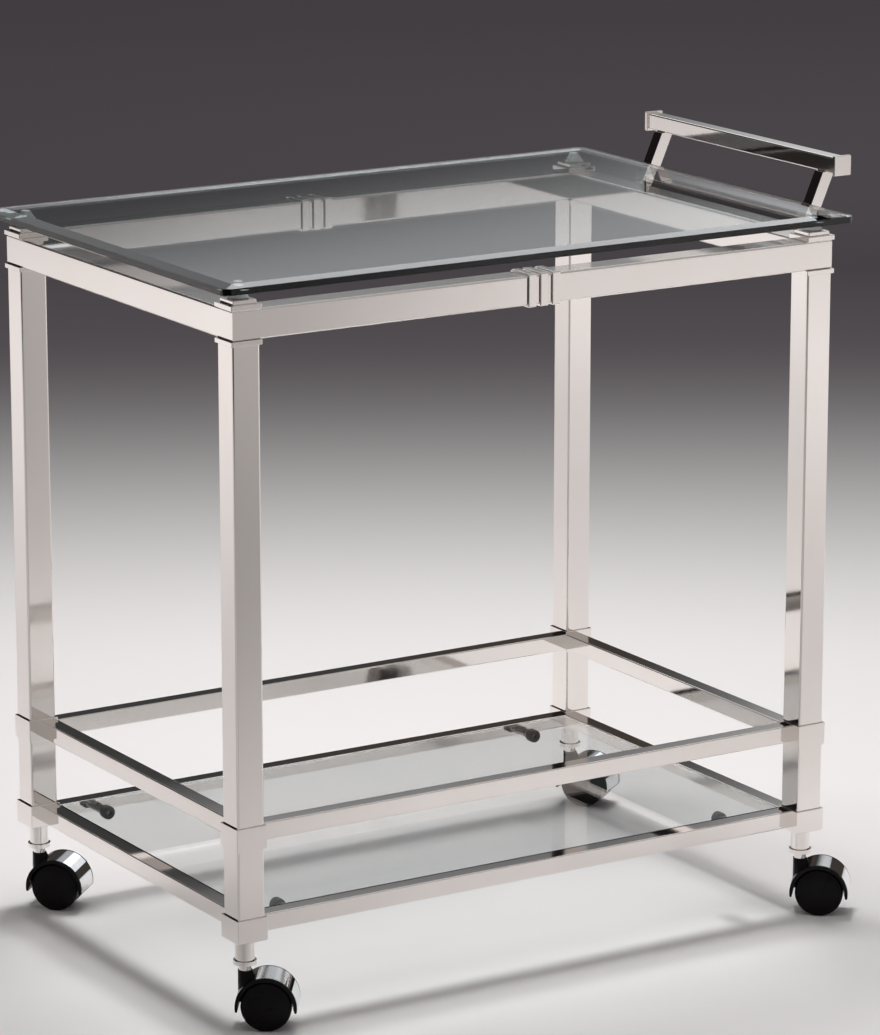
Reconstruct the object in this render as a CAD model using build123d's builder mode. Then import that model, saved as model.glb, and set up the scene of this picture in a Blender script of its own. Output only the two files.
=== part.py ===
from build123d import *
import os
from math import cos, radians, sin, sqrt

# A serving trolley: a square-tube frame on four twin-wheel casters, a bevelled glass top
# on round bumpers, a glass shelf on pins inside the lower rails, a guard rail round the
# shelf and a push handle at the right end. Millimetres, floor at Z 0, +Z up, the handle
# at +X and the front at -Y.

# Frame tubes
frame_length = 708.0
frame_width = 474.5
leg_side = 30.0
leg_length = 597.5
tube_wall = 1.5
tube_edge = 2.0

# Plates, sleeves and bands that stand proud of the tubes
trim_proud = 2.0
trim_edge = 0.8
trim_ease = 0.5
slip = 0.1
sleeve_height = 24.0
sleeve_floor = 3.0
collar_height = 5.0
cap_height = 5.0
pad_side = 26.0
pad_height = 4.0
bumper_diameter = 21.0
bumper_top = 9.0
bumper_foot = 1.5
bumper_height = 10.0
band_width = 10.0
band_pitch = 14.0
band_edge = 1.5
band_ease = 1.2
band_count = 3

# Rails
rail_side = 18.0
rail_edge = 1.2
guard_rise = 94.5

# Glass
glass_overhang = 17.0
glass_thickness = 8.0
glass_corner = 10.0
bevel_width = 16.0
bevel_drop = 1.5
bevel_corner = 1.0
shelf_thickness = 6.0
shelf_gap = 1.0
shelf_corner = 2.0

# Shelf pins: a metal stud with a rubber head on its end
pin_inset_left = 76.0
pin_inset_right = 92.0
stud_diameter = 10.0
stud_length = 19.0
tip_diameter = 6.0
tip_length = 7.0
head_diameter = 14.5
head_length = 10.0
head_edge = 1.5
head_seat = 0.05

# Push handle
handle_rise = 35.5
handle_reach = 58.0
handle_length = 343.0
handle_side = 17.0
handle_edge = 1.5
end_plate_height = 4.0
end_plate_proud = 2.0
post_depth = 13.0
post_width = 15.0
post_inset = 23.0
post_bend_reach = 24.0
post_bend_radius = 18.0

# Casters
trail = 22.0
wheel_radius = 25.5
wheel_gap = 1.8
wheel_edge = 2.0
wheel_dome = 3.0
wheel_cap = 9.0
wheel_dome_radius = 48.0
wheel_rim = 4.0
wheel_recess = 7.0
wheel_hub = 7.0
side_gap = 0.5
caster_width = 42.0
fender_thickness = 3.7
fender_edge = 0.6
claw_drop = 5.0
claw_tip = 2.0
claw_edge = 0.8
web_thickness = 6.0
web_hub = 9.0
neck_diameter = 14.5
neck_rise = 2.5
neck_flare = 3.5
neck_flare_height = 13.5
hood_thickness = 1.1
hood_rim = 2.5
hood_low_angle = -7.0
hood_high_angle = 108.0
hood_fit = 0.1
axle_diameter = 6.0
axle_inset = 4.0
axle_end_gap = 0.5
stem_diameter = 8.0
socket_floor = 1.4
stem_reach = 31.0
stem_end_gap = 1.0
stem_collar_diameter = 13.0
stem_collar_height = 6.5
running_fit = 0.05
cup_diameter = 24.0
cup_wall = 1.0
cup_floor = 1.2
cup_height = 4.2
ferrule_diameter = 20.0
ferrule_length = 24.8
spigot_diameter = 12.0
spigot_length = 12.0

# Directions in which the casters trail, counted from +X
swivel_front_left = -35.0
swivel_front_right = -41.0
swivel_rear_left = -46.0
swivel_rear_right = -55.0

# Heights, stacked up from the floor
fender_inner = wheel_radius + wheel_gap
fender_outer = fender_inner + fender_thickness
neck_top = wheel_radius + fender_outer + neck_rise
cup_bottom = neck_top + stem_collar_height
ferrule_bottom = cup_bottom + cup_floor
frame_bottom = ferrule_bottom + ferrule_length
leg_foot = frame_bottom + sleeve_floor
lower_rail_height = frame_bottom + sleeve_height / 2
guard_height = lower_rail_height + guard_rise
leg_top = leg_foot + leg_length
apron_bottom = leg_top + collar_height
apron_middle = apron_bottom + leg_side / 2
apron_top = apron_bottom + leg_side
pad_bottom = apron_top + cap_height
bumper_bottom = pad_bottom + pad_height
glass_bottom = bumper_bottom + bumper_height
glass_top = glass_bottom + glass_thickness
shelf_top = lower_rail_height + rail_side / 2
shelf_bottom = shelf_top - shelf_thickness
handle_height = glass_top + handle_rise

# Middle of the frame in plan. The origin is under the middle of the whole outline, which
# the handle lengthens at the right end and the trailing casters widen at the front.
end_plate_side = handle_side + 2 * end_plate_proud
handle_extent = handle_reach + end_plate_side / 2


def front_reach(swivel):
    """How far a front caster that trails at this angle stands out in front of its leg's middle."""
    turn = radians(abs(swivel))
    along = (trail + fender_outer - fender_edge) * sin(turn)
    across = (caster_width / 2 - fender_edge) * cos(turn)
    return along + across + fender_edge


caster_extent = max(front_reach(swivel_front_left), front_reach(swivel_front_right)) - leg_side / 2
frame_x = (glass_overhang - handle_extent) / 2
frame_y = (caster_extent - glass_overhang) / 2

# Faces and spans worked out from the frame
trim_side = leg_side + 2 * trim_proud
sleeve_bore = leg_side + 2 * slip
sleeve_inner = leg_side + trim_proud
long_rail = frame_length - 2 * sleeve_inner
short_rail = frame_width - 2 * sleeve_inner
right_face = frame_x + frame_length / 2
hood_bed = fender_outer - hood_thickness
hood_width = caster_width - 2 * hood_rim

os.makedirs("parts", exist_ok=True)


def write(piece, name):
    """Label a finished piece and write its STEP file."""
    piece.label = name
    export_step(piece, f"parts/{name}.step")


def leg_centre(x_side, y_side):
    """Plan position of the leg at the corner with these signs."""
    return (
        frame_x + x_side * (frame_length - leg_side) / 2,
        frame_y + y_side * (frame_width - leg_side) / 2,
    )


corners = {
    "front_left": (-1, -1),
    "front_right": (1, -1),
    "rear_left": (-1, 1),
    "rear_right": (1, 1),
}
leg_centres = {name: leg_centre(*signs) for name, signs in corners.items()}


def square_plates(centres, bottom, side, height):
    """Add square plates with eased rims to the open part."""
    with BuildSketch(Plane.XY.offset(bottom)) as outline:
        with Locations(*centres):
            RectangleRounded(side, side, trim_edge)
    extrude(outline.sketch, amount=height)
    fillet(edges().filter_by(Axis.Z, reverse=True), radius=trim_ease)


def square_bores(centres, bottom, height):
    """Cut the legs' way through sleeves in the open part."""
    with BuildSketch(Plane.XY.offset(bottom)) as outline:
        with Locations(*centres):
            RectangleRounded(sleeve_bore, sleeve_bore, tube_edge)
    extrude(outline.sketch, amount=height, mode=Mode.SUBTRACT)


# Legs: square tubes that stand on the floors of the lower sleeves
for name, centre in leg_centres.items():
    with BuildPart() as leg:
        with BuildSketch(Plane.XY.offset(leg_foot)):
            with Locations(centre):
                RectangleRounded(leg_side, leg_side, tube_edge)
                bore = leg_side - 2 * tube_wall
                Rectangle(bore, bore, mode=Mode.SUBTRACT)
        extrude(amount=leg_length)
    write(leg.part, f"leg_{name}")


# Lower sleeves: square cups round the feet of the legs, drilled for the caster ferrules
for name, centre in leg_centres.items():
    with BuildPart() as lower_sleeve:
        square_plates([centre], frame_bottom, trim_side, sleeve_height)
        square_bores([centre], leg_foot, sleeve_height)
        with BuildSketch(Plane.XY.offset(frame_bottom)):
            with Locations(centre):
                Circle(spigot_diameter / 2 + running_fit)
        extrude(amount=sleeve_floor, mode=Mode.SUBTRACT)
    write(lower_sleeve.part, f"lower_sleeve_{name}")


# Upper sleeves: open square sleeves that carry the guard rails
upper_sleeve_bottom = guard_height - sleeve_height / 2
with BuildPart() as upper_sleeves:
    square_plates(leg_centres.values(), upper_sleeve_bottom, trim_side, sleeve_height)
    square_bores(leg_centres.values(), upper_sleeve_bottom, sleeve_height)
write(upper_sleeves.part, "upper_sleeves")


# Collars on the leg tops, under the apron frame
with BuildPart() as leg_collars:
    square_plates(leg_centres.values(), leg_top, trim_side, collar_height)
write(leg_collars.part, "leg_collars")


def tube_profile(side, edge):
    """Draw a square tube's section in the open sketch."""
    RectangleRounded(side, side, edge)
    Rectangle(side - 2 * tube_wall, side - 2 * tube_wall, mode=Mode.SUBTRACT)


def plan_corner(x_side, y_side, inset):
    """Corner of the frame's outline in plan, moved in by an inset."""
    return (
        frame_x + x_side * (frame_length / 2 - inset),
        frame_y + y_side * (frame_width / 2 - inset),
    )


# Apron frame: four tubes with mitred ends on top of the collars
for name, side in (("apron_front", -1), ("apron_rear", 1)):
    with BuildPart() as apron:
        with BuildSketch(Plane.YZ.offset(frame_x - frame_length / 2)):
            with Locations((frame_y + side * (frame_width - leg_side) / 2, apron_middle)):
                tube_profile(leg_side, tube_edge)
        extrude(amount=frame_length)
        with BuildSketch(Plane.XY.offset(apron_bottom)):
            with BuildLine():
                Polyline(
                    plan_corner(-1, side, 0),
                    plan_corner(1, side, 0),
                    plan_corner(1, side, leg_side),
                    plan_corner(-1, side, leg_side),
                    close=True,
                )
            make_face()
        extrude(amount=leg_side, mode=Mode.INTERSECT)
    write(apron.part, name)

for name, side in (("apron_left", -1), ("apron_right", 1)):
    with BuildPart() as apron:
        with BuildSketch(Plane.XZ.offset(-(frame_y - frame_width / 2))):
            with Locations((frame_x + side * (frame_length - leg_side) / 2, apron_middle)):
                tube_profile(leg_side, tube_edge)
        extrude(amount=-frame_width)
        with BuildSketch(Plane.XY.offset(apron_bottom)):
            with BuildLine():
                Polyline(
                    plan_corner(side, -1, 0),
                    plan_corner(side, 1, 0),
                    plan_corner(side, 1, leg_side),
                    plan_corner(side, -1, leg_side),
                    close=True,
                )
            make_face()
        extrude(amount=leg_side, mode=Mode.INTERSECT)
    write(apron.part, name)


# Bands: square rings with rounded rims round the middle of the front and rear aprons
apron_sections = [(frame_y + side * (frame_width - leg_side) / 2, apron_middle) for side in (-1, 1)]
band_span = (band_count - 1) * band_pitch + band_width
first_band = frame_x - band_span / 2
with BuildPart() as apron_bands:
    for number in range(band_count):
        with BuildSketch(Plane.YZ.offset(first_band + number * band_pitch)):
            with Locations(*apron_sections):
                RectangleRounded(trim_side, trim_side, band_edge)
        extrude(amount=band_width)
    fillet(apron_bands.edges().filter_by(Axis.X, reverse=True), radius=band_ease)
    with BuildSketch(Plane.YZ.offset(first_band)):
        with Locations(*apron_sections):
            RectangleRounded(sleeve_bore, sleeve_bore, tube_edge)
    extrude(amount=band_span, mode=Mode.SUBTRACT)
write(apron_bands.part, "apron_bands")


# Corner stack on the apron frame: cap plate, smaller pad plate, clear round bumper
with BuildPart() as corner_caps:
    square_plates(leg_centres.values(), apron_top, trim_side, cap_height)
write(corner_caps.part, "corner_caps")

with BuildPart() as corner_pads:
    square_plates(leg_centres.values(), pad_bottom, pad_side, pad_height)
write(corner_pads.part, "corner_pads")

with BuildPart() as glass_bumpers:
    with BuildSketch(Plane.XY.offset(bumper_bottom)):
        with Locations(*leg_centres.values()):
            Circle(bumper_diameter / 2)
    extrude(amount=bumper_foot)
    with Locations(*[(x, y, bumper_bottom + bumper_foot) for x, y in leg_centres.values()]):
        Cone(
            bumper_diameter / 2,
            bumper_top / 2,
            bumper_height - bumper_foot,
            align=(Align.CENTER, Align.CENTER, Align.MIN),
        )
write(glass_bumpers.part, "glass_bumpers")


# Top glass: a rounded plate with a wide, shallow bevel round its upper face
glass_length = frame_length + 2 * glass_overhang
glass_width = frame_width + 2 * glass_overhang
bevel_bottom = glass_top - bevel_drop
with BuildPart() as top_glass:
    with BuildSketch(Plane.XY.offset(glass_bottom)):
        with Locations((frame_x, frame_y)):
            RectangleRounded(glass_length, glass_width, glass_corner)
    extrude(amount=glass_thickness - bevel_drop)
    with BuildSketch(Plane.XY.offset(bevel_bottom)):
        with Locations((frame_x, frame_y)):
            RectangleRounded(glass_length, glass_width, glass_corner)
    with BuildSketch(Plane.XY.offset(glass_top)):
        with Locations((frame_x, frame_y)):
            RectangleRounded(
                glass_length - 2 * bevel_width, glass_width - 2 * bevel_width, bevel_corner
            )
    loft(ruled=True)
write(top_glass.part, "top_glass")


# Rails: square tubes between the sleeves, inner faces level with the sleeves' inner faces
rail_inset = sleeve_inner - rail_side / 2
for level, height in (("lower", lower_rail_height), ("guard", guard_height)):
    for name, side in (("front", -1), ("rear", 1)):
        with BuildPart() as rail:
            with BuildSketch(Plane.YZ.offset(frame_x - long_rail / 2)):
                with Locations((frame_y + side * (frame_width / 2 - rail_inset), height)):
                    tube_profile(rail_side, rail_edge)
            extrude(amount=long_rail)
        write(rail.part, f"{level}_rail_{name}")
    for name, side in (("left", -1), ("right", 1)):
        with BuildPart() as rail:
            with BuildSketch(Plane.XZ.offset(-(frame_y - short_rail / 2))):
                with Locations((frame_x + side * (frame_length / 2 - rail_inset), height)):
                    tube_profile(rail_side, rail_edge)
            extrude(amount=-short_rail)
        write(rail.part, f"{level}_rail_{name}")


# Shelf pins stand out of the inner faces of the long lower rails, under the shelf glass
pin_height = shelf_bottom - head_seat - head_diameter / 2
pin_places = (
    frame_x - frame_length / 2 + pin_inset_left,
    frame_x + frame_length / 2 - pin_inset_right,
)
pin_roots = [
    Plane(
        origin=(x, frame_y + side * (frame_width / 2 - sleeve_inner), pin_height),
        x_dir=(1, 0, 0),
        z_dir=(0, -side, 0),
    )
    for x in pin_places
    for side in (-1, 1)
]

with BuildPart() as shelf_pins:
    with BuildSketch(*pin_roots):
        Circle(stud_diameter / 2)
    extrude(amount=stud_length)
    with BuildSketch(*[root.offset(stud_length) for root in pin_roots]):
        Circle(tip_diameter / 2)
    extrude(amount=tip_length)
write(shelf_pins.part, "shelf_pins")

with BuildPart() as shelf_pin_heads:
    with BuildSketch(*[root.offset(stud_length) for root in pin_roots]):
        Circle(head_diameter / 2)
        Circle(tip_diameter / 2 + running_fit, mode=Mode.SUBTRACT)
    extrude(amount=head_length)
    outer_rims = shelf_pin_heads.edges().filter_by(GeomType.CIRCLE).group_by(SortBy.RADIUS)[-1]
    fillet(outer_rims, radius=head_edge)
write(shelf_pin_heads.part, "shelf_pin_heads")


# Shelf glass: a plain plate inside the lower rails, top level with the rails' tops
with BuildPart() as shelf_glass:
    with BuildSketch(Plane.XY.offset(shelf_bottom)):
        with Locations((frame_x, frame_y)):
            RectangleRounded(
                frame_length - 2 * (sleeve_inner + shelf_gap),
                frame_width - 2 * (sleeve_inner + shelf_gap),
                shelf_corner,
            )
    extrude(amount=shelf_thickness)
write(shelf_glass.part, "shelf_glass")


# Push handle: a square bar with end plates, on two posts bent out of the right apron
handle_x = right_face + handle_reach
handle_bottom = handle_height - handle_side / 2
handle_front = frame_y - handle_length / 2

with BuildPart() as handle_bar:
    with BuildSketch(Plane.XZ.offset(-handle_front)):
        with Locations((handle_x, handle_height)):
            tube_profile(handle_side, handle_edge)
    extrude(amount=-handle_length)
write(handle_bar.part, "handle_bar")

with BuildPart() as handle_end_plates:
    for y, direction in ((handle_front, 1), (handle_front + handle_length, -1)):
        with BuildSketch(Plane.XZ.offset(-y)):
            with Locations((handle_x, handle_height)):
                RectangleRounded(end_plate_side, end_plate_side, trim_edge)
        extrude(amount=direction * end_plate_height)
    fillet(handle_end_plates.edges().filter_by(Axis.Y, reverse=True), radius=trim_ease)
write(handle_end_plates.part, "handle_end_plates")

for name, side in (("front", -1), ("rear", 1)):
    post_y = frame_y + side * (handle_length / 2 - post_inset)
    with BuildPart() as post:
        with BuildLine(Plane.XZ.offset(-post_y)) as post_path:
            FilletPolyline(
                (right_face, apron_middle),
                (right_face + post_bend_reach, apron_middle),
                (handle_x, handle_height),
                radius=post_bend_radius,
            )
        foot = Plane(origin=(right_face, post_y, apron_middle), x_dir=(0, 1, 0), z_dir=(1, 0, 0))
        with BuildSketch(foot):
            Rectangle(post_width, post_depth)
        sweep()
        split(bisect_by=Plane.XY.offset(handle_bottom), keep=Keep.BOTTOM)
    write(post.part, f"handle_post_{name}")


# Ferrules: turned sockets under the legs, each with a spigot up through its sleeve's floor
def disc(centre, bottom, radius, height, mode=Mode.ADD):
    """Add or cut an upright cylinder in the open part."""
    with BuildSketch(Plane.XY.offset(bottom)) as outline:
        with Locations(centre):
            Circle(radius)
    extrude(outline.sketch, amount=height, mode=mode)


stem_top = cup_bottom + stem_reach
stem_bottom = wheel_radius + sqrt(fender_inner**2 - (trail - stem_diameter / 2) ** 2) + socket_floor
with BuildPart() as caster_ferrules:
    for centre in leg_centres.values():
        disc(centre, ferrule_bottom, ferrule_diameter / 2, ferrule_length)
        disc(centre, frame_bottom, spigot_diameter / 2, spigot_length)
        bore_depth = stem_top + stem_end_gap - ferrule_bottom
        disc(centre, ferrule_bottom, stem_diameter / 2 + running_fit, bore_depth, Mode.SUBTRACT)
write(caster_ferrules.part, "caster_ferrules")

with BuildPart() as caster_cups:
    for centre in leg_centres.values():
        disc(centre, cup_bottom, cup_diameter / 2, cup_height)
        disc(centre, ferrule_bottom, cup_diameter / 2 - cup_wall, cup_height, Mode.SUBTRACT)
        disc(centre, cup_bottom, stem_diameter / 2 + running_fit, cup_height, Mode.SUBTRACT)
write(caster_cups.part, "caster_cups")


# Casters: a moulded body with a neck, a fender over twin wheels and a polished hood
def hood_section(inner, outer, low_angle, high_angle):
    """Draw a ring sector about the axle in the open sketch."""
    turn = high_angle - low_angle
    with BuildLine() as outline:
        low_arc = CenterArc((0, 0), inner, low_angle, turn)
        high_arc = CenterArc((0, 0), outer, low_angle, turn)
        Line(low_arc @ 0, high_arc @ 0)
        Line(low_arc @ 1, high_arc @ 1)
    make_face(outline.edges())


def caster_body(centre, wheel_plane):
    """Flared neck, fender with claws, and the web that holds the axle between the wheels."""
    neck_radius = neck_diameter / 2
    root_radius = neck_radius + neck_flare
    root_height = neck_top - neck_flare_height
    root = (centre[0] + wheel_plane.x_dir.X * neck_flare, centre[1] + wheel_plane.x_dir.Y * neck_flare)
    claw_inner = sqrt(fender_outer**2 - claw_drop**2) - claw_tip
    with BuildPart() as body:
        with BuildSketch(wheel_plane) as fender:
            Circle(fender_outer)
            with Locations((0, -claw_drop - fender_outer)):
                Rectangle(2 * fender_outer, 2 * fender_outer, mode=Mode.SUBTRACT)
            fillet(fender.vertices(), radius=claw_edge)
        extrude(amount=caster_width / 2, both=True)
        rims = body.edges().filter_by(GeomType.CIRCLE).group_by(SortBy.RADIUS)[-1]
        fillet(rims, radius=fender_edge)
        disc(root, wheel_radius, root_radius, root_height - wheel_radius)
        with BuildSketch(Plane.XY.offset(root_height)):
            with Locations(root):
                Circle(root_radius)
        with BuildSketch(Plane.XY.offset(neck_top)):
            with Locations(centre):
                Circle(neck_radius)
        loft()
        for side in (-1, 1):
            with BuildSketch(wheel_plane.offset(side * web_thickness / 2)):
                Circle(fender_inner)
            extrude(amount=side * caster_width, mode=Mode.SUBTRACT)
        with BuildSketch(wheel_plane):
            with BuildLine():
                Polyline(
                    (-fender_inner, 0),
                    (fender_inner, 0),
                    (claw_inner, -claw_drop),
                    (-claw_inner, -claw_drop),
                    close=True,
                )
            make_face()
        extrude(amount=caster_width / 2, both=True, mode=Mode.SUBTRACT)
        with BuildSketch(wheel_plane):
            Circle(web_hub)
        extrude(amount=web_thickness / 2, both=True)
        with BuildSketch(wheel_plane):
            Circle(axle_diameter / 2 + running_fit)
        extrude(amount=web_thickness, both=True, mode=Mode.SUBTRACT)
        disc(centre, stem_bottom, stem_diameter / 2 + running_fit, neck_top, Mode.SUBTRACT)
        with BuildSketch(wheel_plane):
            hood_section(hood_bed, fender_outer + hood_thickness, hood_low_angle, hood_high_angle)
        extrude(amount=hood_width / 2, both=True, mode=Mode.SUBTRACT)
    return body.part


def caster_hood(wheel_plane):
    """Polished cover that lies in the fender's channel."""
    with BuildPart() as hood:
        with BuildSketch(wheel_plane):
            hood_section(hood_bed + hood_fit, fender_outer, hood_low_angle, hood_high_angle)
        extrude(amount=hood_width / 2 - hood_fit, both=True)
    return hood.part


def caster_stem(centre):
    """Steel pin with a collar that bears on the cup."""
    with BuildPart() as stem:
        disc(centre, stem_bottom, stem_diameter / 2, stem_top - stem_bottom)
        disc(centre, neck_top, stem_collar_diameter / 2, stem_collar_height)
    return stem.part


def caster_wheel(section, axle):
    """One domed wheel, hollow on its inner side, with a blind bore for the axle."""
    inner_face = web_thickness / 2 + side_gap
    outer_face = caster_width / 2 - side_gap
    bore_end = caster_width / 2 - axle_inset + axle_end_gap
    bore = axle_diameter / 2 + running_fit
    with BuildPart() as wheel:
        with BuildSketch(section) as half_section:
            with BuildLine():
                dome = RadiusArc(
                    (outer_face - wheel_dome, wheel_radius),
                    (outer_face, wheel_cap),
                    wheel_dome_radius,
                )
                Polyline(
                    dome @ 1,
                    (outer_face, 0),
                    (bore_end, 0),
                    (bore_end, bore),
                    (inner_face, bore),
                    (inner_face, wheel_hub),
                    (inner_face + wheel_recess, wheel_hub),
                    (inner_face + wheel_recess, wheel_radius - wheel_rim),
                    (inner_face, wheel_radius - wheel_rim),
                    (inner_face, wheel_radius),
                    dome @ 0,
                )
            make_face()
            tread_corners = half_section.vertices().group_by(Axis.Y)[-1]
            fillet(tread_corners, radius=wheel_edge)
        revolve(axis=axle)
    return wheel.part


swivels = {
    "front_left": swivel_front_left,
    "front_right": swivel_front_right,
    "rear_left": swivel_rear_left,
    "rear_right": swivel_rear_right,
}
up = Vector(0, 0, 1)
for name, centre in leg_centres.items():
    turn = radians(swivels[name])
    along = Vector(cos(turn), sin(turn), 0)
    axle_point = Vector(*centre, wheel_radius) + along * trail
    axle_direction = along.cross(up)
    axle_line = Axis(axle_point, axle_direction)
    wheel_plane = Plane(origin=axle_point, x_dir=along, z_dir=axle_direction)
    write(caster_body(centre, wheel_plane), f"caster_body_{name}")
    write(caster_hood(wheel_plane), f"caster_hood_{name}")
    write(caster_stem(centre), f"caster_stem_{name}")
    with BuildPart() as axle:
        with BuildSketch(wheel_plane):
            Circle(axle_diameter / 2)
        extrude(amount=caster_width / 2 - axle_inset, both=True)
    write(axle.part, f"caster_axle_{name}")
    for hand, outward in (("left", -axle_direction), ("right", axle_direction)):
        section = Plane(origin=axle_point, x_dir=outward, z_dir=outward.cross(up))
        write(caster_wheel(section, axle_line), f"wheel_{hand}_{name}")
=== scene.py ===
import math

import bpy
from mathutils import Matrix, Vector


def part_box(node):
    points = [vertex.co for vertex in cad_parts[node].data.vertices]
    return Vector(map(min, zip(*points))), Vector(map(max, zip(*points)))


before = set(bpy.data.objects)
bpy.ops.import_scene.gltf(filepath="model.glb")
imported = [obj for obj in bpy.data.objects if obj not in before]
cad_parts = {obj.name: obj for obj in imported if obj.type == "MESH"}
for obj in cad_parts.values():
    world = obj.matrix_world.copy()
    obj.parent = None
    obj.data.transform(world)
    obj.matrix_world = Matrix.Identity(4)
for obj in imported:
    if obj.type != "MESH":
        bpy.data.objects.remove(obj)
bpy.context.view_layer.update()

# Serving trolley: polished nickel tube frame, clear glass top and shelf, twin-wheel casters.
# Metres, floor at Z 0, the push handle at +X and the front at -Y.

MM = 0.001

# Camera at the photograph's viewing angle
CAMERA_PLACE = (-2.5494, -4.0936, 1.6240)
CAMERA_DIP = 13.938
CAMERA_TURN = 31.863
CAMERA_LENS = 164.88
CAMERA_SENSOR = 36.0

# Studio. Places and directions are given as the camera sees them: depth beyond the trolley,
# right, height. An EDGE is the pair of values where a soft change starts and ends.
FLOOR_SIDE = 60.0
FLOOR_COLOUR = (0.890, 0.865, 0.855)
FLOOR_MOTTLE = 0.985
# Painted shade: the floor far behind turns dark grey with a faint glow, where the lamps' light
# falls off
FLOOR_FAR_PAINTED_SHADE = (0.120, 0.112, 0.115)
FLOOR_FAR_PAINTED_GLOW = (0.027, 0.023, 0.027)
FLOOR_FAR_EDGE = (0.95, 3.05)

# Painted reflection of the floor, seen only by polished pieces: dark far in front, lighter
# behind, with some painted glow
MIRRORED_FRONT = (0.060, 0.055, 0.052)
MIRRORED_NEAR = (0.630, 0.613, 0.606)
MIRRORED_BEHIND = (0.955, 0.928, 0.918)
MIRRORED_RUN = (1, 0.45, 0)
MIRRORED_FRONT_EDGE = (-3.7, -2.9)
MIRRORED_BEHIND_EDGE = (-0.75, -0.2)
MIRRORED_SIDE_GLOW = 0.40
MIRRORED_SIDE_GLOW_EDGE = (0.9, 3.2)
MIRRORED_FRONT_GLOW = 0.26
MIRRORED_FRONT_GLOW_EDGE = (-1.5, -0.9)

# The room, and the painted reflections of its sides that only polished pieces see
ROOM_COLOUR = (0.056, 0.048, 0.052)
ROOM_LEFT_SIDE = (0.010, 0.008, 0.009)
ROOM_FAR_SIDE = (0.052, 0.043, 0.037)
ROOM_FAR_SIDE_EDGE = (-0.6, -0.3)
ROOM_BRIGHT_SIDE = (0.40, 0.38, 0.37)
ROOM_BRIGHT_SIDE_EDGE = (-0.35, 0.15)
ROOM_CEILING = (0.46, 0.44, 0.43)
ROOM_CEILING_EDGE = (0.45, 0.8)

LAMPS = {
    "overhead_softbox": {"place": (0.5, 0.0, 2.4), "side": 0.6, "power": 43.0},
    "left_fill": {"place": (0.8, -3.5, 2.2), "side": 1.8, "power": 29.0},
    "right_fill": {"place": (-0.3, 3.6, 2.0), "side": 1.6, "power": 24.0},
    "front_fill": {"place": (-0.8, 0.3, 2.1), "side": 1.2, "power": 7.5},
}

# The board behind glows by itself, with painted light: a wash that brightens upward and to the
# right, and a leaning bright strip
BOARD_PLACE = (3.6, 1.2, 2.1)
BOARD_SIZE = (5.0, 1.9)
BOARD_COLOUR = (0.96, 0.98, 1.0)
BOARD_DIM_GLOW = 0.045
BOARD_GLOW = 0.45
BOARD_WASH_HEIGHT = 1.33
BOARD_WASH_RISE = 0.15
BOARD_WASH_REACH = 0.9
BOARD_WASH_EDGE = (-0.3, 1.25)
BOARD_STRIP_GLOW = 1.4
BOARD_STRIP_SLOPE = 0.45
BOARD_STRIP_EDGE = (1.93, 2.07)
BOARD_STRIP_END_GLOW = 0.3
BOARD_STRIP_END_EDGE = (1.1, 1.6)
BOARD_RIGHT_GLOW = 0.22
BOARD_RIGHT_EDGE = (0.3, 0.8)

# Finishes: each piece's tone, and the tone it turns to where it is hazy, scuffed or rubbed
NICKEL = (0.87, 0.83, 0.805)
NICKEL_WARM = (0.85, 0.80, 0.765)
NICKEL_RUBBED = (0.88, 0.86, 0.84)
CHROME = (0.82, 0.825, 0.84)
CHROME_DIM = (0.74, 0.75, 0.77)
SHELF_PIN = (0.26, 0.25, 0.24)
SHELF_PIN_DIM = (0.18, 0.17, 0.165)
PIN_RUBBER = (0.055, 0.052, 0.05)
PIN_RUBBER_SCUFFED = (0.085, 0.08, 0.077)
CASTER_NYLON = (0.005, 0.004, 0.005)
CASTER_NYLON_SCUFFED = (0.009, 0.008, 0.009)
WHEEL_NYLON = (0.004, 0.003, 0.004)
WHEEL_NYLON_SCUFFED = (0.007, 0.006, 0.007)
MOULDING_RUBBED = (0.06, 0.06, 0.062)
MOULDING_RUB = 0.3
GLASS_CLEAR = (1, 1, 1)
GLASS_SMEAR = (0.965, 0.972, 0.975)
GLASS_TINT = (0.35, 0.80, 0.78)
GLASS_DENSITY = 5.5
GLASS_SHADOW = (0.97, 0.97, 0.972)
VINYL = (0.86, 0.88, 0.88)
VINYL_MILKY = (0.78, 0.80, 0.80)
VINYL_SHADOW = (0.8, 0.81, 0.81)
CLEAR_SLOTS = ("glass", "clear_bumper")

# Grain of the finishes, in waves to the metre or as a share
CLOUD_EDGE = (0.3, 0.7)
HAZE_EDGE = (0.45, 0.85)
HAIRLINE_SCALE = 900.0
HAIRLINE_STRETCH = 0.02
HAIRLINE_HAZE = 0.25
HAIRLINE_HEIGHT = 0.02
RIPPLE_SCALE = 11.0
SCUFF_SCALE = 70.0

# Edges of the handle posts, as buffing leaves them
POST_EDGE = 0.5 * MM
POST_EDGE_STEPS = 3
POST_EDGE_ANGLE = 40
POST_WELD = 0.001 * MM


# Small helpers for node trees

def feed(tree, socket, value):
    """Give a socket a plain value or a link from another node's socket."""
    if isinstance(value, bpy.types.NodeSocket):
        tree.links.new(value, socket)
    else:
        socket.default_value = value


def place(tree, kind, inputs=None, **settings):
    """Add a node. Each input takes a plain value or a link from another node's socket."""
    node = tree.nodes.new(kind)
    for name, value in settings.items():
        setattr(node, name, value)
    for name, value in (inputs or {}).items():
        feed(tree, node.inputs[name], value)
    return node


def arithmetic(tree, operation, *values):
    """The result of one sum or product."""
    node = place(tree, "ShaderNodeMath", operation=operation)
    for socket, value in zip(node.inputs, values):
        feed(tree, socket, value)
    return node.outputs["Value"]


def held_in_range(result):
    """The same result, kept between 0 and 1."""
    result.node.use_clamp = True
    return result


def vector_product(tree, operation, first, second):
    """Outputs of a node that multiplies two vectors or gives their dot product."""
    node = place(tree, "ShaderNodeVectorMath", operation=operation)
    feed(tree, node.inputs[0], first)
    feed(tree, node.inputs[1], second)
    return node.outputs


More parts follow.
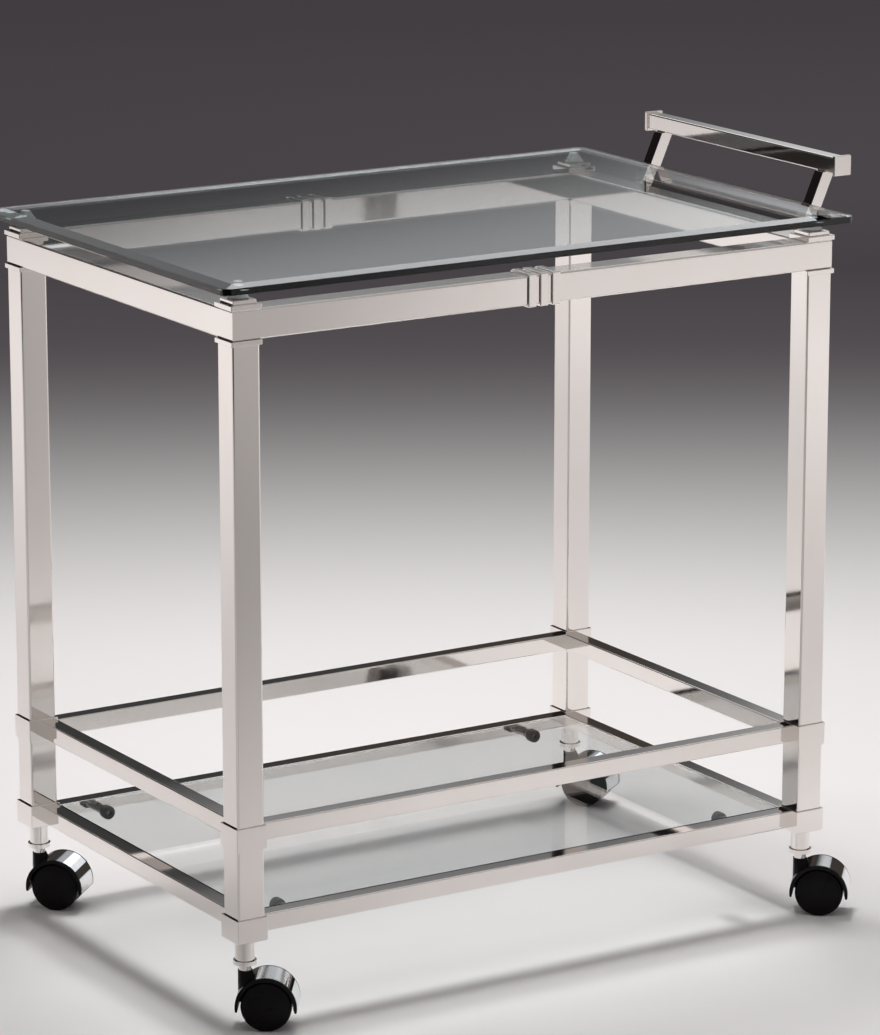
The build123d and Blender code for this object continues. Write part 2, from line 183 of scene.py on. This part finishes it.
def distance_along(tree, where, direction):
    """How far a place lies in a direction."""
    return vector_product(tree, "DOT_PRODUCT", where, direction)["Value"]


def graded(tree, value, edge, start=0.0, end=1.0, course="SMOOTHSTEP"):
    """A value that goes from start to end as another one crosses an edge."""
    limits = {"From Min": edge[0], "From Max": edge[1], "To Min": start, "To Max": end}
    node = place(
        tree, "ShaderNodeMapRange", {"Value": value, **limits}, interpolation_type=course
    )
    return node.outputs["Result"]


def mixed_colour(tree, factor, first, second):
    """One colour turning into another as the factor goes from 0 to 1."""
    node = place(tree, "ShaderNodeMix", data_type="RGBA")
    tree.links.new(factor, node.inputs["Factor"])
    for label, colour in (("A", first), ("B", second)):
        socket = [s for s in node.inputs if s.name == label and s.type == "RGBA"][0]
        feed(tree, socket, (*colour, 1) if isinstance(colour, tuple) else colour)
    return [s for s in node.outputs if s.type == "RGBA"][0]


def noise(tree, where, scale, detail, roughness=0.5):
    """Cloudy noise over the surface."""
    settings = {"Vector": where, "Scale": scale, "Detail": detail, "Roughness": roughness}
    return place(tree, "ShaderNodeTexNoise", settings).outputs["Fac"]


def own_place(tree):
    """Place on the piece, in its own coordinates."""
    return place(tree, "ShaderNodeTexCoord").outputs["Object"]


# Shared effects

def effect_group(name, inputs, outputs):
    """Start a shared effect: a shader node group with float inputs and float outputs."""
    tree = bpy.data.node_groups.new(name, "ShaderNodeTree")
    for label, start in inputs.items():
        socket = tree.interface.new_socket(label, in_out="INPUT", socket_type="NodeSocketFloat")
        socket.default_value = start
    for label in outputs:
        tree.interface.new_socket(label, in_out="OUTPUT", socket_type="NodeSocketFloat")
    given = tree.nodes.new("NodeGroupInput")
    result = tree.nodes.new("NodeGroupOutput")
    return tree, given.outputs, result.inputs


def effect(tree, group, **values):
    """Place a shared effect in a material with its own values."""
    node = place(tree, "ShaderNodeGroup", node_tree=group)
    for label, value in values.items():
        node.inputs[label.replace("_", " ")].default_value = value
    return node.outputs


def polish_haze_effect():
    """Buffed metal: clouds of faint haze, a long ripple and hairlines along the buffing run."""
    tree, given, result = effect_group(
        "polish_haze",
        {
            "Clear Roughness": 0.04,
            "Hazy Roughness": 0.09,
            "Cloud Size": 0.08,
            "Stretch X": 1.0,
            "Stretch Y": 1.0,
            "Stretch Z": 1.0,
        },
        ("Roughness", "Height", "Warmth"),
    )
    where = own_place(tree)
    cloud_scale = arithmetic(tree, "DIVIDE", 1.0, given["Cloud Size"])
    clouds = noise(tree, where, cloud_scale, detail=4.0, roughness=0.6)
    stretch = place(
        tree, "ShaderNodeCombineXYZ", {axis: given[f"Stretch {axis}"] for axis in "XYZ"}
    ).outputs["Vector"]
    along = vector_product(tree, "MULTIPLY", where, stretch)["Vector"]
    hairlines = noise(tree, along, HAIRLINE_SCALE, detail=2.0)
    ripple = noise(tree, where, RIPPLE_SCALE, detail=1.0)
    haze = arithmetic(tree, "MULTIPLY_ADD", hairlines, HAIRLINE_HAZE, clouds)
    roughness = graded(
        tree, haze, HAZE_EDGE, given["Clear Roughness"], given["Hazy Roughness"], "LINEAR"
    )
    height = arithmetic(tree, "MULTIPLY_ADD", hairlines, HAIRLINE_HEIGHT, ripple)
    tree.links.new(roughness, result["Roughness"])
    tree.links.new(height, result["Height"])
    tree.links.new(graded(tree, clouds, CLOUD_EDGE, course="LINEAR"), result["Warmth"])
    return tree


def edge_rub_effect():
    """Mask of the edges that hands and cloths rub: where a rounded normal leaves the real one."""
    tree, given, result = effect_group("edge_rub", {"Width": 0.001, "Sharpness": 6.0}, ("Mask",))
    rounded = place(tree, "ShaderNodeBevel", {"Radius": given["Width"]}, samples=4)
    true_normal = place(tree, "ShaderNodeNewGeometry").outputs["Normal"]
    match = vector_product(tree, "DOT_PRODUCT", rounded.outputs["Normal"], true_normal)["Value"]
    turned = arithmetic(tree, "SUBTRACT", 1.0, match)
    mask = held_in_range(arithmetic(tree, "MULTIPLY", turned, given["Sharpness"]))
    tree.links.new(mask, result["Mask"])
    return tree


def moulded_skin_effect():
    """Injection-moulded plastic: fine grain, slight sheen patches and a few scuffs."""
    tree, given, result = effect_group(
        "moulded_skin",
        {"Gloss Roughness": 0.22, "Dull Roughness": 0.38, "Grain Scale": 2600.0},
        ("Roughness", "Height", "Scuff"),
    )
    where = own_place(tree)
    grain = noise(tree, where, given["Grain Scale"], detail=2.0)
    patches = noise(tree, where, SCUFF_SCALE, detail=5.0)
    roughness = graded(
        tree, patches, CLOUD_EDGE, given["Gloss Roughness"], given["Dull Roughness"], "LINEAR"
    )
    tree.links.new(roughness, result["Roughness"])
    tree.links.new(grain, result["Height"])
    tree.links.new(graded(tree, patches, CLOUD_EDGE, course="LINEAR"), result["Scuff"])
    return tree


polish_haze = polish_haze_effect()
edge_rub = edge_rub_effect()
moulded_skin = moulded_skin_effect()


# Materials

def new_material(name):
    """An empty node material with its output."""
    material = bpy.data.materials.new(name)
    material.use_nodes = True
    tree = material.node_tree
    tree.nodes.clear()
    return material, tree, place(tree, "ShaderNodeOutputMaterial").inputs


def shaded(tree, inputs):
    """The material's own shader."""
    return place(tree, "ShaderNodeBsdfPrincipled", inputs).outputs["BSDF"]


def bumped(tree, height, strength, distance):
    """A normal raised by a height value."""
    node = place(
        tree, "ShaderNodeBump", {"Height": height, "Strength": strength, "Distance": distance}
    )
    return node.outputs["Normal"]


def polished_nickel(run):
    """Nickel plate, buffed along the tube: run is the axis letter of the tube's length."""
    material, tree, output = new_material(f"polished_nickel_{run}")
    stretch = {f"Stretch_{axis}": HAIRLINE_STRETCH if axis == run else 1.0 for axis in "XYZ"}
    haze = effect(tree, polish_haze, Clear_Roughness=0.035, Hazy_Roughness=0.085, **stretch)
    rub = effect(tree, edge_rub, Width=0.8 * MM)
    tone = mixed_colour(tree, haze["Warmth"], NICKEL, NICKEL_WARM)
    tone = mixed_colour(tree, rub["Mask"], tone, NICKEL_RUBBED)
    surface = shaded(
        tree,
        {
            "Metallic": 1.0,
            "Base Color": tone,
            "Roughness": haze["Roughness"],
            "Normal": bumped(tree, haze["Height"], strength=0.25, distance=0.2 * MM),
        },
    )
    tree.links.new(surface, output["Surface"])
    return material


def turned_steel(name, bright, dim, clear, hazy):
    """Turned or pressed metal of the casters and pins."""
    material, tree, output = new_material(name)
    haze = effect(
        tree,
        polish_haze,
        Clear_Roughness=clear,
        Hazy_Roughness=hazy,
        Cloud_Size=0.012,
        Stretch_Z=6.0,
    )
    surface = shaded(
        tree,
        {
            "Metallic": 1.0,
            "Base Color": mixed_colour(tree, haze["Warmth"], bright, dim),
            "Roughness": haze["Roughness"],
            "Normal": bumped(tree, haze["Height"], strength=0.2, distance=0.1 * MM),
        },
    )
    tree.links.new(surface, output["Surface"])
    return material


def black_moulding(name, colour, scuffed, gloss, dull):
    """Black nylon or rubber with its moulded grain."""
    material, tree, output = new_material(name)
    skin = effect(tree, moulded_skin, Gloss_Roughness=gloss, Dull_Roughness=dull)
    rub = effect(tree, edge_rub, Width=0.6 * MM)
    rubbed = arithmetic(tree, "MULTIPLY", rub["Mask"], MOULDING_RUB)
    tone = mixed_colour(tree, skin["Scuff"], colour, scuffed)
    tone = mixed_colour(tree, rubbed, tone, MOULDING_RUBBED)
    surface = shaded(
        tree,
        {
            "Base Color": tone,
            "Roughness": skin["Roughness"],
            "Specular IOR Level": 0.1,
            "Normal": bumped(tree, skin["Height"], strength=0.15, distance=0.1 * MM),
        },
    )
    tree.links.new(surface, output["Surface"])
    return material


def shadow_lets_light_through(tree, surface, tint, output):
    """Let lamps shine through a clear piece, tinted a little, so its shadow stays pale."""
    shadow = place(tree, "ShaderNodeBsdfTransparent", {"Color": (*tint, 1)})
    path = place(tree, "ShaderNodeLightPath")
    mix = place(tree, "ShaderNodeMixShader", {"Fac": path.outputs["Is Shadow Ray"]})
    tree.links.new(surface, mix.inputs[1])
    tree.links.new(shadow.outputs["BSDF"], mix.inputs[2])
    tree.links.new(mix.outputs["Shader"], output["Surface"])


def clear_glass():
    """Float glass: faint wiping smears and a blue-green body colour that deepens at the rims."""
    material, tree, output = new_material("clear_glass")
    smears = effect(tree, polish_haze, Cloud_Size=0.15)
    surface = shaded(
        tree,
        {
            "Base Color": mixed_colour(tree, smears["Warmth"], GLASS_CLEAR, GLASS_SMEAR),
            "Transmission Weight": 1.0,
            "IOR": 1.5,
            "Roughness": 0.0,
            "Normal": bumped(tree, smears["Height"], strength=0.05, distance=0.1 * MM),
        },
    )
    body = place(
        tree, "ShaderNodeVolumeAbsorption", {"Color": (*GLASS_TINT, 1), "Density": GLASS_DENSITY}
    )
    shadow_lets_light_through(tree, surface, GLASS_SHADOW, output)
    tree.links.new(body.outputs["Volume"], output["Volume"])
    return material


def clear_vinyl():
    """Soft clear bumper: slightly milky, with a satin skin."""
    material, tree, output = new_material("clear_vinyl")
    skin = effect(tree, moulded_skin, Gloss_Roughness=0.12, Dull_Roughness=0.3)
    surface = shaded(
        tree,
        {
            "Base Color": mixed_colour(tree, skin["Scuff"], VINYL, VINYL_MILKY),
            "Transmission Weight": 0.65,
            "IOR": 1.46,
            "Roughness": skin["Roughness"],
            "Normal": bumped(tree, skin["Height"], strength=0.1, distance=0.1 * MM),
        },
    )
    shadow_lets_light_through(tree, surface, VINYL_SHADOW, output)
    return material


SLOT_FINISHES = {
    "glass": clear_glass(),
    "clear_bumper": clear_vinyl(),
    "pin_steel": turned_steel("pin_steel_turned", NICKEL, NICKEL_WARM, clear=0.08, hazy=0.16),
    "pin_rubber": black_moulding(
        "pin_rubber_black", PIN_RUBBER, PIN_RUBBER_SCUFFED, gloss=0.4, dull=0.55
    ),
    "caster_plastic": black_moulding(
        "caster_nylon_black", CASTER_NYLON, CASTER_NYLON_SCUFFED, gloss=0.16, dull=0.3
    ),
    "hood_chrome": turned_steel("hood_chrome_mirror", CHROME, CHROME_DIM, clear=0.02, hazy=0.05),
    "wheel_plastic": black_moulding(
        "wheel_nylon_black", WHEEL_NYLON, WHEEL_NYLON_SCUFFED, gloss=0.25, dull=0.42
    ),
}
NICKEL_BY_RUN = {axis: polished_nickel(axis) for axis in "XYZ"}
NODE_FINISHES = {
    "shelf_pins": turned_steel("shelf_pin_dark", SHELF_PIN, SHELF_PIN_DIM, clear=0.2, hazy=0.34),
}


# Dress the CAD nodes

def longest_run(node):
    """Axis letter of a node's longest side."""
    low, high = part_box(node)
    sides = high - low
    return "XYZ"[max(range(3), key=lambda axis: sides[axis])]


def finish_for(node, slot):
    """A node's own finish, its slot's finish, or nickel buffed along its longest side."""
    return NODE_FINISHES.get(node) or SLOT_FINISHES.get(slot) or NICKEL_BY_RUN[longest_run(node)]


def ease_edges(post):
    """Round the sharp edges of a handle post."""
    weld = post.modifiers.new("join_faces", "WELD")
    weld.merge_threshold = POST_WELD
    eased = post.modifiers.new("eased_edges", "BEVEL")
    eased.width = POST_EDGE
    eased.segments = POST_EDGE_STEPS
    eased.limit_method = "ANGLE"
    eased.angle_limit = math.radians(POST_EDGE_ANGLE)
    eased.harden_normals = True


for node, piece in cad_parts.items():
    slot = piece.data.materials[0].name
    piece.material_slots[0].material = finish_for(node, slot)
    if node.startswith("handle_post"):
        ease_edges(piece)
    if slot in CLEAR_SLOTS:
        # Light that the floor gathers passes straight through, as its shadow does
        piece.visible_diffuse = False


# Studio: pale floor with painted shade far behind, four soft lamps overhead, a glowing board
# behind with painted light, a dim room with painted reflections

def from_view(depth, right, height):
    """A point given by depth beyond the trolley, distance to the right and height."""
    turn = math.radians(CAMERA_TURN)
    return Vector(
        (
            depth * math.sin(turn) + right * math.cos(turn),
            depth * math.cos(turn) - right * math.sin(turn),
            height,
        )
    )


def flat_sheet(name, width, length):
    """A flat rectangle with its middle at the origin."""
    mesh = bpy.data.meshes.new(name)
    x, y = width / 2, length / 2
    mesh.from_pydata([(-x, -y, 0), (x, -y, 0), (x, y, 0), (-x, y, 0)], [], [(0, 1, 2, 3)])
    sheet = bpy.data.objects.new(name, mesh)
    bpy.context.scene.collection.objects.link(sheet)
    return sheet


def painted_floor_reflection(tree, where):
    """Painted reflection: the tone and the glow that polished pieces see in the floor."""
    away = distance_along(tree, where, from_view(*MIRRORED_RUN))
    behind = graded(tree, away, MIRRORED_BEHIND_EDGE)
    in_light = graded(tree, away, MIRRORED_FRONT_EDGE)
    tone = mixed_colour(tree, behind, MIRRORED_NEAR, MIRRORED_BEHIND)
    tone = mixed_colour(tree, in_light, MIRRORED_FRONT, tone)
    across = distance_along(tree, where, from_view(0, 1, 0))
    sideways = arithmetic(tree, "ABSOLUTE", across)
    side_glow = graded(tree, sideways, MIRRORED_SIDE_GLOW_EDGE, end=MIRRORED_SIDE_GLOW)
    front_glow = graded(tree, away, MIRRORED_FRONT_GLOW_EDGE, MIRRORED_FRONT_GLOW, 0.0)
    return tone, arithmetic(tree, "ADD", side_glow, front_glow)


def studio_floor():
    """Large pale floor with painted shade that darkens it into grey far behind, and a painted
    reflection tone that mirrors see.
    """
    floor = flat_sheet("studio_floor", FLOOR_SIDE, FLOOR_SIDE)
    material, tree, output = new_material("pale_floor")
    where = own_place(tree)
    mottle = noise(tree, where, scale=3.0, detail=3.0)
    mottled = tuple(FLOOR_MOTTLE * c for c in FLOOR_COLOUR)
    tone = mixed_colour(tree, mottle, FLOOR_COLOUR, mottled)
    # Painted shade: the floor seen directly or through glass darkens into grey far behind
    depth = distance_along(tree, where, from_view(1, 0, 0))
    fade = graded(tree, depth, FLOOR_FAR_EDGE)
    mirrored, glow = painted_floor_reflection(tree, where)
    path = place(tree, "ShaderNodeLightPath").outputs
    # A ray through glass counts as glossy too
    mirror_ray = held_in_range(
        arithmetic(tree, "SUBTRACT", path["Is Glossy Ray"], path["Is Transmission Ray"])
    )
    # Painted reflection: glossy rays see the painted floor tone and glow in place of the lit
    # floor
    tone = mixed_colour(tree, mirror_ray, tone, mirrored)
    glow_tone = mixed_colour(tree, mirror_ray, FLOOR_FAR_PAINTED_GLOW, mirrored)
    mirrored_glow = arithmetic(tree, "MULTIPLY", glow, mirror_ray)
    seen = arithmetic(tree, "MAXIMUM", path["Is Camera Ray"], path["Is Transmission Ray"])
    seen_fade = arithmetic(tree, "MULTIPLY", fade, seen)
    surface = shaded(
        tree,
        {
            "Base Color": mixed_colour(tree, seen_fade, tone, FLOOR_FAR_PAINTED_SHADE),
            "Roughness": 0.7,
            "Specular IOR Level": 0.15,
            "Emission Color": glow_tone,
            "Emission Strength": arithmetic(tree, "ADD", seen_fade, mirrored_glow),
        },
    )
    tree.links.new(surface, output["Surface"])
    floor.data.materials.append(material)


def studio_lamps():
    """Square soft lamps that shine straight down."""
    for name, setting in LAMPS.items():
        lamp = bpy.data.lights.new(name, "AREA")
        lamp.shape = "SQUARE"
        lamp.size = setting["side"]
        lamp.energy = setting["power"]
        softbox = bpy.data.objects.new(name, lamp)
        bpy.context.scene.collection.objects.link(softbox)
        softbox.location = from_view(*setting["place"])
        softbox.rotation_euler = (0, 0, -math.radians(CAMERA_TURN))
        softbox.visible_camera = False
        softbox.visible_transmission = False
        softbox.visible_glossy = False


def studio_room():
    """Dim even room. Polished pieces see painted reflections of a pale near side and ceiling and
    a dark far side.
    """
    world = bpy.data.worlds.new("dim_room")
    world.use_nodes = True
    tree = world.node_tree
    where = place(tree, "ShaderNodeTexCoord").outputs["Generated"]
    nearness = distance_along(tree, where, from_view(-1, 0, 0))
    rightness = distance_along(tree, where, from_view(0, 1, 0))
    upness = place(tree, "ShaderNodeSeparateXYZ", {"Vector": where}).outputs["Z"]
    far_side = graded(tree, rightness, ROOM_FAR_SIDE_EDGE)
    bright_side = graded(tree, nearness, ROOM_BRIGHT_SIDE_EDGE)
    ceiling = graded(tree, upness, ROOM_CEILING_EDGE)
    mirrored = mixed_colour(tree, far_side, ROOM_LEFT_SIDE, ROOM_FAR_SIDE)
    mirrored = mixed_colour(tree, bright_side, mirrored, ROOM_BRIGHT_SIDE)
    mirrored = mixed_colour(tree, ceiling, mirrored, ROOM_CEILING)
    path = place(tree, "ShaderNodeLightPath").outputs
    # Painted reflection: only glossy rays see the room's bright near side, ceiling and dark far
    # side
    colour = mixed_colour(tree, path["Is Glossy Ray"], ROOM_COLOUR, mirrored)
    tree.links.new(colour, tree.nodes["Background"].inputs["Color"])
    bpy.context.scene.world = world


def rear_board():
    """Pale board high behind the trolley that glows by itself, with painted light brightening
    toward its upper right, for the glass to mirror.
    """
    _, right, height = BOARD_PLACE
    board = flat_sheet("rear_board", *BOARD_SIZE)
    board.location = from_view(*BOARD_PLACE)
    board.rotation_euler = (math.radians(90), 0, -math.radians(CAMERA_TURN))
    board.visible_camera = False
    material, tree, output = new_material("board_glow")
    across = place(tree, "ShaderNodeSeparateXYZ", {"Vector": own_place(tree)}).outputs

    def from_middle(edge, middle):
        """An edge as the board's own coordinates have it."""
        return edge[0] - middle, edge[1] - middle

    # Painted light: a wash of glow that brightens upward and to the right
    wash_start = (height - BOARD_WASH_HEIGHT) / BOARD_WASH_RISE + right / BOARD_WASH_REACH
    wash = arithmetic(tree, "MULTIPLY_ADD", across["Y"], 1 / BOARD_WASH_RISE, wash_start)
    wash = arithmetic(tree, "MULTIPLY_ADD", across["X"], 1 / BOARD_WASH_REACH, wash)
    wash_glow = graded(tree, wash, BOARD_WASH_EDGE, BOARD_DIM_GLOW, BOARD_GLOW)

    leaning = arithmetic(tree, "MULTIPLY_ADD", across["X"], BOARD_STRIP_SLOPE, across["Y"])
    strip_middle = height + BOARD_STRIP_SLOPE * right
    strip = graded(tree, leaning, from_middle(BOARD_STRIP_EDGE, strip_middle))
    # Kept weak at the right end, where the glass mirrors it in views from the left
    strip_end = from_middle(BOARD_STRIP_END_EDGE, right)
    strip_light = graded(tree, across["X"], strip_end, BOARD_STRIP_GLOW, BOARD_STRIP_END_GLOW)
    strip_glow = arithmetic(tree, "MULTIPLY", strip, strip_light)

    right_end = from_middle(BOARD_RIGHT_EDGE, right)
    right_glow = graded(tree, across["X"], right_end, end=BOARD_RIGHT_GLOW)
    strength = arithmetic(tree, "ADD", wash_glow, strip_glow)
    strength = arithmetic(tree, "ADD", strength, right_glow)
    # The board glows by itself; its wash and leaning strip are painted light
    light = place(
        tree, "ShaderNodeEmission", {"Color": (*BOARD_COLOUR, 1), "Strength": strength}
    )
    tree.links.new(light.outputs["Emission"], output["Surface"])
    board.data.materials.append(material)


def photo_camera():
    """Camera at the photograph's viewing angle, looking a little down on the trolley."""
    lens = bpy.data.cameras.new("photo_camera")
    lens.sensor_width = CAMERA_SENSOR
    lens.lens = CAMERA_LENS
    camera = bpy.data.objects.new("photo_camera", lens)
    bpy.context.scene.collection.objects.link(camera)
    camera.location = CAMERA_PLACE
    camera.rotation_euler = (math.radians(90 - CAMERA_DIP), 0, -math.radians(CAMERA_TURN))
    bpy.context.scene.camera = camera


studio_floor()
studio_lamps()
studio_room()
rear_board()
photo_camera()
bpy.context.scene.view_settings.view_transform = "Standard"
